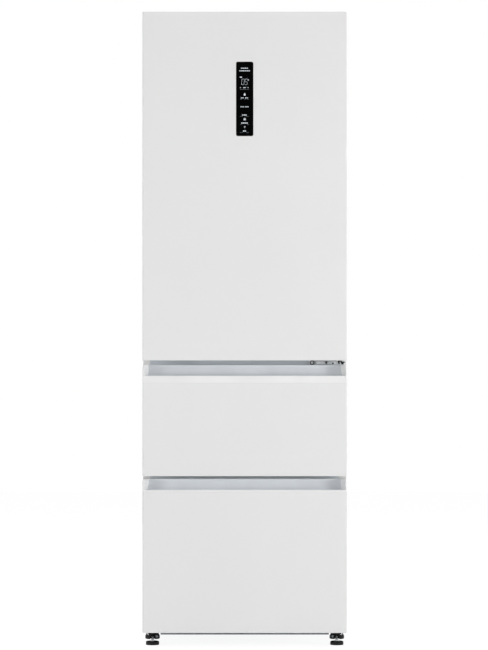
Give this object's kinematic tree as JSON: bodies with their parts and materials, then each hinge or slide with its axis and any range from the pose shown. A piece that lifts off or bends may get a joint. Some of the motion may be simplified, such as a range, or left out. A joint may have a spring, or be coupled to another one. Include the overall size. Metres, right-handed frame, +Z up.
{
  "type": "multi-door refrigerator",
  "caption": "Tall free-standing white refrigerator: right-hinged upper door with a display strip, pull-out freezer drawers with recessed grips below, on levelling feet.",
  "frame": {"origin": "on the floor, under the middle of the whole bounding box", "axes": "+Z up; the door and drawers face -Y; +X is the hinge side"},
  "size_m": [0.595, 0.667, 1.85],
  "materials": {
    "white_paint": "smooth semi-gloss powder paint on steel sheet",
    "zinc_sheet": "zinc-coated steel sheet",
    "white_liner": "vacuum-formed polystyrene",
    "white_moulding": "moulded ABS, satin",
    "silver_moulding": "silver-painted moulded ABS",
    "grey_rail": "grey painted steel",
    "foam": "rigid polyurethane foam",
    "seal_rubber": "extruded soft PVC with magnet strip",
    "shelf_glass": "toughened clear glass",
    "clear_plastic": "clear moulded polystyrene",
    "black_glass": "back-printed black glass",
    "board": "epoxy circuit board",
    "plated_steel": "zinc-plated pressed steel",
    "dark_steel": "black dipped steel",
    "black_plastic": "moulded black polypropylene",
    "fin_aluminium": "aluminium fins and tubes",
    "lamp_lens": "opal moulded acrylic",
    "bush_plastic": "moulded acetal"
  },
  "bodies": {
    "cabinet": {"outer_shell": "white_paint", "back_panel": "zinc_sheet", "base_pan": "zinc_sheet", "fridge_liner": "white_liner", "freezer_liner": "white_liner", "cabinet_foam": "foam", "mullion_rails": "grey_rail", "top_hinge": "plated_steel", "top_hinge_cover": "white_moulding", "middle_hinge": "plated_steel", "cabinet_screws": "plated_steel", "glass_shelves": "shelf_glass", "shelf_trims": "white_moulding", "air_duct": "white_moulding", "fridge_light": "lamp_lens", "freezer_air_panel": "white_moulding", "evaporator": "fin_aluminium", "fan_motor": "black_plastic", "outer_runners": "plated_steel", "compressor": "dark_steel", "condenser_tubes": "dark_steel", "drip_tray": "black_plastic", "rear_cover": "black_plastic", "chassis_brackets": "black_plastic", "power_inlet": "black_plastic"},
    "fridge_door": {"door_skin": "white_paint", "door_top_cap": "white_moulding", "door_bottom_cap": "white_moulding", "door_liner": "white_liner", "door_foam": "foam", "door_gasket": "seal_rubber", "door_bushings": "bush_plastic", "door_bin_bottom": "clear_plastic", "door_bin_middle": "clear_plastic", "door_bin_top": "clear_plastic", "control_glass": "black_glass", "control_board": "board"},
    "upper_drawer": {"upper_drawer_skin": "white_paint", "upper_drawer_cap": "white_moulding", "upper_drawer_grip": "silver_moulding", "upper_drawer_liner": "white_liner", "upper_drawer_foam": "foam", "upper_drawer_gasket": "seal_rubber", "upper_drawer_basket": "clear_plastic", "upper_drawer_arms": "plated_steel"},
    "lower_drawer": {"lower_drawer_skin": "white_paint", "lower_drawer_cap": "white_moulding", "lower_drawer_grip": "silver_moulding", "lower_drawer_liner": "white_liner", "lower_drawer_foam": "foam", "lower_drawer_gasket": "seal_rubber", "lower_drawer_basket": "clear_plastic", "lower_drawer_arms": "plated_steel"},
    "upper_runners": {"upper_middle_runners": "plated_steel"},
    "lower_runners": {"lower_middle_runners": "plated_steel"},
    "crisper_drawer": {"crisper": "clear_plastic"},
    "left_levelling_foot": {"left_foot": "black_plastic"},
    "right_levelling_foot": {"right_foot": "black_plastic"},
    "rear_roller_pair": {"rear_rollers": "black_plastic"},
    "fan_rotor": {"evaporator_fan": "white_moulding"}
  },
  "joints": [
    {"name": "door_hinge", "type": "hinge", "parent": "cabinet", "child": "fridge_door", "pos_m": [0.2775, -0.2975, 0.829], "axis": [0, 0, 1], "range_deg": [0, 115]},
    {"name": "upper_drawer_slide", "type": "slide", "parent": "cabinet", "child": "upper_drawer", "axis": [0, -1, 0], "range_m": [0, 0.36]},
    {"name": "upper_runner_slide", "type": "slide", "parent": "cabinet", "child": "upper_runners", "axis": [0, -1, 0], "range_m": [0, 0.18]},
    {"name": "lower_drawer_slide", "type": "slide", "parent": "cabinet", "child": "lower_drawer", "axis": [0, -1, 0], "range_m": [0, 0.36]},
    {"name": "lower_runner_slide", "type": "slide", "parent": "cabinet", "child": "lower_runners", "axis": [0, -1, 0], "range_m": [0, 0.18]},
    {"name": "crisper_slide", "type": "slide", "parent": "cabinet", "child": "crisper_drawer", "axis": [0, -1, 0], "range_m": [0, 0.2]},
    {"name": "left_foot_height", "type": "slide", "parent": "cabinet", "child": "left_levelling_foot", "axis": [0, 0, -1], "range_m": [0, 0.012]},
    {"name": "right_foot_height", "type": "slide", "parent": "cabinet", "child": "right_levelling_foot", "axis": [0, 0, -1], "range_m": [0, 0.012]},
    {"name": "rear_roller_turn", "type": "hinge", "parent": "cabinet", "child": "rear_roller_pair", "pos_m": [0, 0.2855, 0.018], "axis": [1, 0, 0], "continuous": true},
    {"name": "fan_turn", "type": "hinge", "parent": "cabinet", "child": "fan_rotor", "pos_m": [0, 0.191, 0.7], "axis": [0, 1, 0], "continuous": true}
  ],
  "couplings": [
    {"joint": "upper_runner_slide", "follows": "upper_drawer_slide", "ratio": 0.5},
    {"joint": "lower_runner_slide", "follows": "lower_drawer_slide", "ratio": 0.5},
    {"joint": "crisper_slide", "follows": "door_hinge", "m_per_rad": 0.09959}
  ]
}
